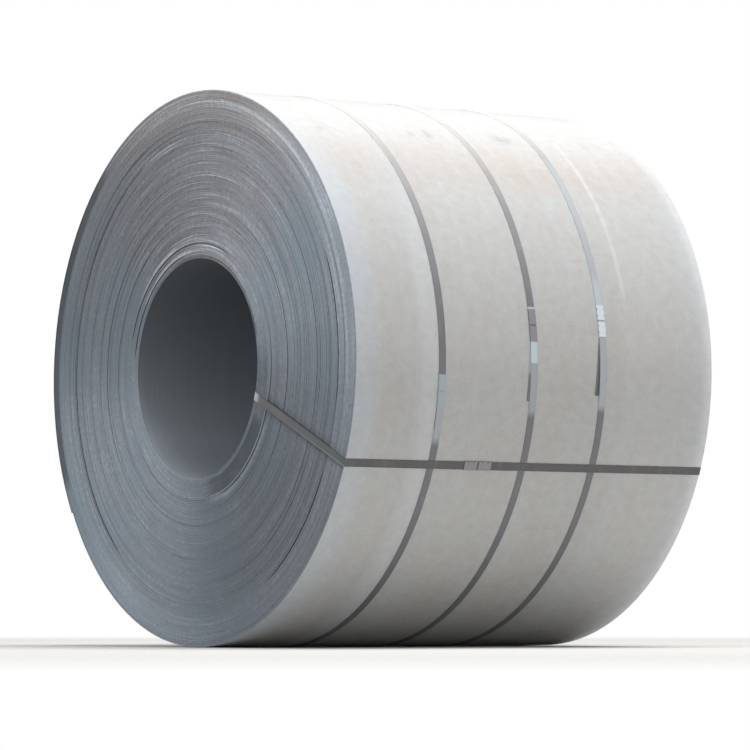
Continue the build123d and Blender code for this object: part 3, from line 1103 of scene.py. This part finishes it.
def put(name, data, place, aim):
    """An object of the scene at that place, turned to look along aim."""
    held = bpy.data.objects.new(name, data)
    held.location = place
    held.rotation_euler = aim.to_track_quat("-Z", "Y").to_euler()
    bpy.context.scene.collection.objects.link(held)
    return held


class COIL_OT_stage(bpy.types.Operator):
    """Set the floor, the light and the camera."""

    bl_idname = "coil.stage"
    bl_label = "Set the stage"

    def execute(self, context):
        scene, stage, colours = context.scene, context.scene.coil_stage, context.scene.coil_finishes
        floor_mesh = bpy.data.meshes.new("floor")
        corners = ((-1, -1), (1, -1), (1, 1), (-1, 1))
        places = [(x * FLOOR_REACH, y * FLOOR_REACH, 0) for x, y in corners]
        floor_mesh.from_pydata(places, [], [(0, 1, 2, 3)])
        finish = Finish("floor", 0.0, 0.9, 0.2)
        finish.set("Base Color", colours.floor)
        finish.fade_out(FADE_FROM, FADE_TO)
        floor_mesh.materials.append(finish.material)
        floor = bpy.data.objects.new("floor", floor_mesh)
        scene.collection.objects.link(floor)

        world = bpy.data.worlds.new("studio")
        world.use_nodes = True
        scene.world = world
        # What the camera and gloss see of the world is white, and what lights the steel is dimmer.
        sky = Nodes(world.node_tree)
        background = sky.tree.nodes["Background"]
        sky.join(background.inputs["Color"], (1.0, 1.0, 1.0))
        levels = {"Value": sky.seen(), "To Min": stage.ambient, "To Max": 1.0}
        sky.join(background.inputs["Strength"], sky.node("ShaderNodeMapRange", {}, levels))

        middle = Vector((0.0, 0.0, (CAD_BOX[0][2] + CAD_BOX[1][2]) / 2))
        for name, place, size in LAMPS:
            lamp = bpy.data.lights.new(name, "AREA")
            lamp.energy = getattr(stage, name)
            lamp.size = size
            put(name, lamp, place, middle - Vector(place))

        flat = math.cos(stage.elevation)
        towards = Vector((
            math.sin(stage.azimuth) * flat, -math.cos(stage.azimuth) * flat, math.sin(stage.elevation)
        ))
        camera = bpy.data.cameras.new("camera")
        camera.lens = stage.lens
        camera.clip_end = 200.0
        scene.camera = put("camera", camera, middle + towards * stage.distance, -towards)
        scene.view_settings.view_transform = "Standard"
        return {"FINISHED"}


STEPS = (COIL_OT_strip, COIL_OT_round_straps, COIL_OT_eye_strap, COIL_OT_seals, COIL_OT_stage)
GROUPS = {
    "coil_strip": StripSizes,
    "coil_straps": StrapSizes,
    "coil_finishes": Finishes,
    "coil_stage": StageSizes,
}


class COIL_PT_panel(bpy.types.Panel):
    """The steps and sizes of the coil."""

    bl_label = "Steel coil"
    bl_idname = "COIL_PT_panel"
    bl_space_type = "VIEW_3D"
    bl_region_type = "UI"
    bl_category = "Coil"

    def draw(self, context):
        for step in STEPS:
            self.layout.operator(step.bl_idname)
        for key, group in GROUPS.items():
            box = self.layout.box()
            for name in group.__annotations__:
                box.prop(getattr(context.scene, key), name)


CLASSES = (*GROUPS.values(), *STEPS, COIL_PT_panel)


def register():
    for kind in CLASSES:
        bpy.utils.register_class(kind)
    for key, group in GROUPS.items():
        setattr(bpy.types.Scene, key, PointerProperty(type=group))


def unregister():
    for key in GROUPS:
        delattr(bpy.types.Scene, key)
    for kind in reversed(CLASSES):
        bpy.utils.unregister_class(kind)


def main():
    register()
    bpy.ops.coil.strip()
    bpy.ops.coil.round_straps()
    bpy.ops.coil.eye_strap()
    bpy.ops.coil.seals()
    bpy.ops.coil.stage()


if __name__ == "__main__":
    main()
